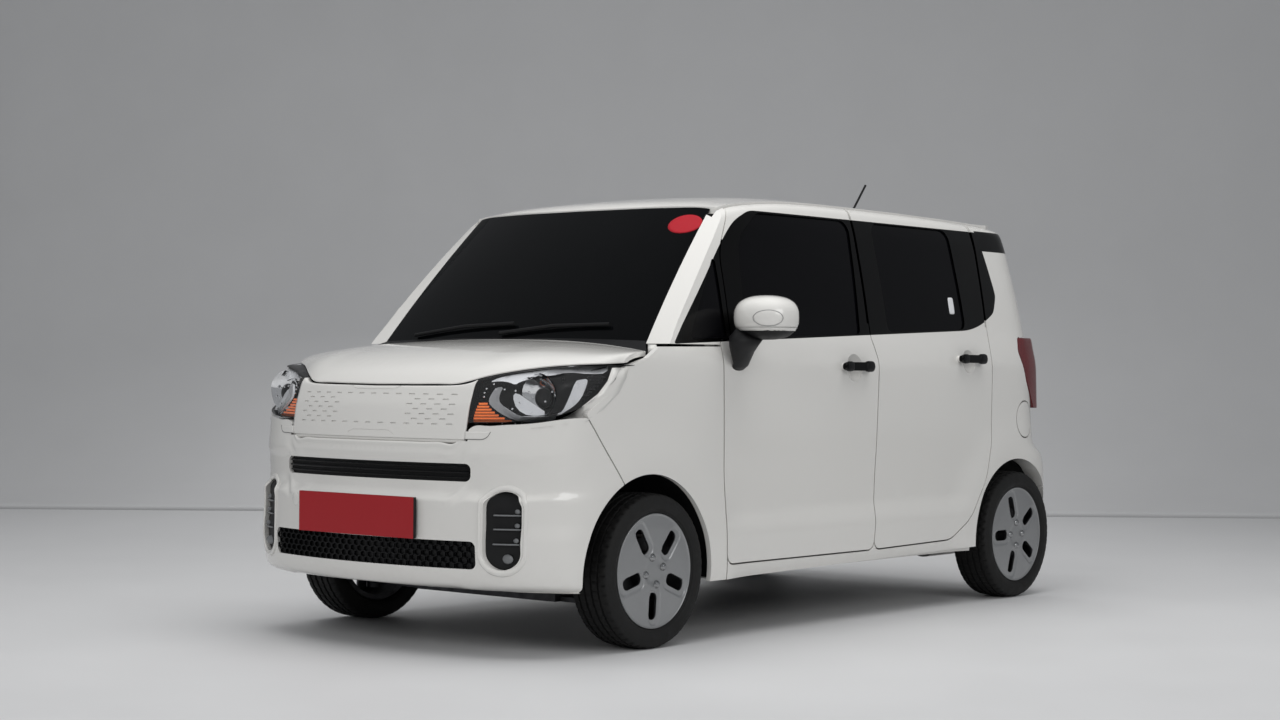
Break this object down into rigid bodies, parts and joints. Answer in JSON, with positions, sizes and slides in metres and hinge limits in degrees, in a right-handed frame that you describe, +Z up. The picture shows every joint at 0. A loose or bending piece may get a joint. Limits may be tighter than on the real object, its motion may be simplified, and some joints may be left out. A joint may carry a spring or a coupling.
{
  "type": "kei car",
  "caption": "Small tall five-door box car with hinged and sliding side doors, a tailgate, a sloping bonnet, steel wheels and a full cabin.",
  "frame": {"origin": "on the ground under the middle of the car's length and width", "axes": "+X points rearwards, +Y to the car's right and +Z up"},
  "size_m": [3.5951, 2.028, 1.8573],
  "materials": {
    "body_paint": "gloss",
    "trim_black": "matte",
    "bumper_paint": "gloss",
    "dark_glass": "tinted",
    "screen_glass": "clear",
    "lamp_clear": "clear",
    "lamp_red": "gloss",
    "tyre": "matte",
    "wheel_paint": "satin",
    "plate_red": "gloss",
    "steel": "satin",
    "underbody": "matte",
    "fabric": "matte",
    "dash": "matte",
    "liner": "matte",
    "exhaust": "satin"
  },
  "bodies": {
    "shell": {"side_frame_right": "body_paint", "side_frame_left": "body_paint", "roof_panel": "body_paint", "front_fenders": "body_paint", "front_bumper": "bumper_paint", "front_grilles": "trim_black", "grille_panel": "bumper_paint", "number_plate": "plate_red", "headlamps": "lamp_clear", "tail_lamps": "lamp_red", "rear_bumper": "bumper_paint", "windscreen": "screen_glass", "corner_glass": "dark_glass", "cowl_panel": "trim_black", "wipers": "trim_black", "aerial": "trim_black", "sliding_door_right": "body_paint", "sliding_door_right_glass": "dark_glass", "front_suspension": "steel", "rear_axle": "steel", "floor_pan": "underbody", "front_structure": "underbody", "wheel_liners": "liner", "engine": "steel", "fuel_tank": "liner", "exhaust": "exhaust", "front_seats": "fabric", "rear_seat": "fabric", "dashboard": "dash"},
    "door_front_left": {"door_front_left": "body_paint", "door_front_left_glass": "dark_glass", "mirror_left": "bumper_paint"},
    "door_front_right": {"door_front_right": "body_paint", "door_front_right_glass": "dark_glass", "mirror_right": "bumper_paint"},
    "door_rear_left": {"door_rear_left": "body_paint", "door_rear_left_glass": "dark_glass"},
    "tailgate": {"tailgate": "body_paint", "tailgate_glass": "dark_glass"},
    "bonnet": {"bonnet": "body_paint"},
    "fuel_flap": {"fuel_flap": "body_paint"},
    "knuckle_left": {"knuckle_left": "steel"},
    "knuckle_right": {"knuckle_right": "steel"},
    "steering_wheel": {"steering_wheel": "dash"},
    "wheel_front_left": {"tyre_front_left": "tyre", "wheel_front_left": "wheel_paint"},
    "wheel_front_right": {"tyre_front_right": "tyre", "wheel_front_right": "wheel_paint"},
    "wheel_rear_left": {"tyre_rear_left": "tyre", "wheel_rear_left": "wheel_paint"},
    "wheel_rear_right": {"tyre_rear_right": "tyre", "wheel_rear_right": "wheel_paint"}
  },
  "joints": [
    {"name": "front_left_door_hinge", "type": "hinge", "parent": "shell", "child": "door_front_left", "pos_m": [-0.6985, -0.795, 0.972], "axis": [0, -0.0523, -0.9986], "range_deg": [0, 65]},
    {"name": "front_right_door_hinge", "type": "hinge", "parent": "shell", "child": "door_front_right", "pos_m": [-0.6985, 0.795, 0.972], "axis": [0, -0.0523, 0.9986], "range_deg": [0, 65]},
    {"name": "rear_left_door_hinge", "type": "hinge", "parent": "shell", "child": "door_rear_left", "pos_m": [0.3005, -0.795, 0.972], "axis": [0, -0.0523, -0.9986], "range_deg": [0, 65]},
    {"name": "tailgate_hinge", "type": "hinge", "parent": "shell", "child": "tailgate", "pos_m": [1.5885, 0, 1.633], "axis": [0, -1, 0], "range_deg": [0, 85]},
    {"name": "bonnet_hinge", "type": "hinge", "parent": "shell", "child": "bonnet", "pos_m": [-1.0775, 0, 1.107], "axis": [0, 1, 0], "range_deg": [0, 55]},
    {"name": "fuel_flap_hinge", "type": "hinge", "parent": "shell", "child": "fuel_flap", "pos_m": [1.4195, -0.7935, 0.785], "axis": [0, 0, -1], "range_deg": [0, 90]},
    {"name": "left_knuckle_steer", "type": "hinge", "parent": "shell", "child": "knuckle_left", "pos_m": [-1.0825, -0.672, 0.15], "axis": [0, 0.1781, 0.984], "range_deg": [-35, 35]},
    {"name": "right_knuckle_steer", "type": "hinge", "parent": "shell", "child": "knuckle_right", "pos_m": [-1.0825, 0.672, 0.15], "axis": [0, -0.1781, 0.984], "range_deg": [-35, 35]},
    {"name": "steering_wheel_turn", "type": "hinge", "parent": "shell", "child": "steering_wheel", "pos_m": [-0.6825, -0.345, 0.93], "axis": [0.891, 0, 0.454], "range_deg": [-525, 525]},
    {"name": "front_left_wheel_spin", "type": "hinge", "parent": "knuckle_left", "child": "wheel_front_left", "pos_m": [-1.0825, -0.704, 0.278], "axis": [0, 1, 0], "continuous": true},
    {"name": "front_right_wheel_spin", "type": "hinge", "parent": "knuckle_right", "child": "wheel_front_right", "pos_m": [-1.0825, 0.704, 0.278], "axis": [0, 1, 0], "continuous": true},
    {"name": "rear_left_wheel_spin", "type": "hinge", "parent": "shell", "child": "wheel_rear_left", "pos_m": [1.4375, -0.704, 0.278], "axis": [0, 1, 0], "continuous": true},
    {"name": "rear_right_wheel_spin", "type": "hinge", "parent": "shell", "child": "wheel_rear_right", "pos_m": [1.4375, 0.704, 0.278], "axis": [0, 1, 0], "continuous": true}
  ],
  "couplings": [
    {"joint": "right_knuckle_steer", "follows": "left_knuckle_steer", "ratio": 1},
    {"joint": "steering_wheel_turn", "follows": "left_knuckle_steer", "ratio": 15}
  ]
}
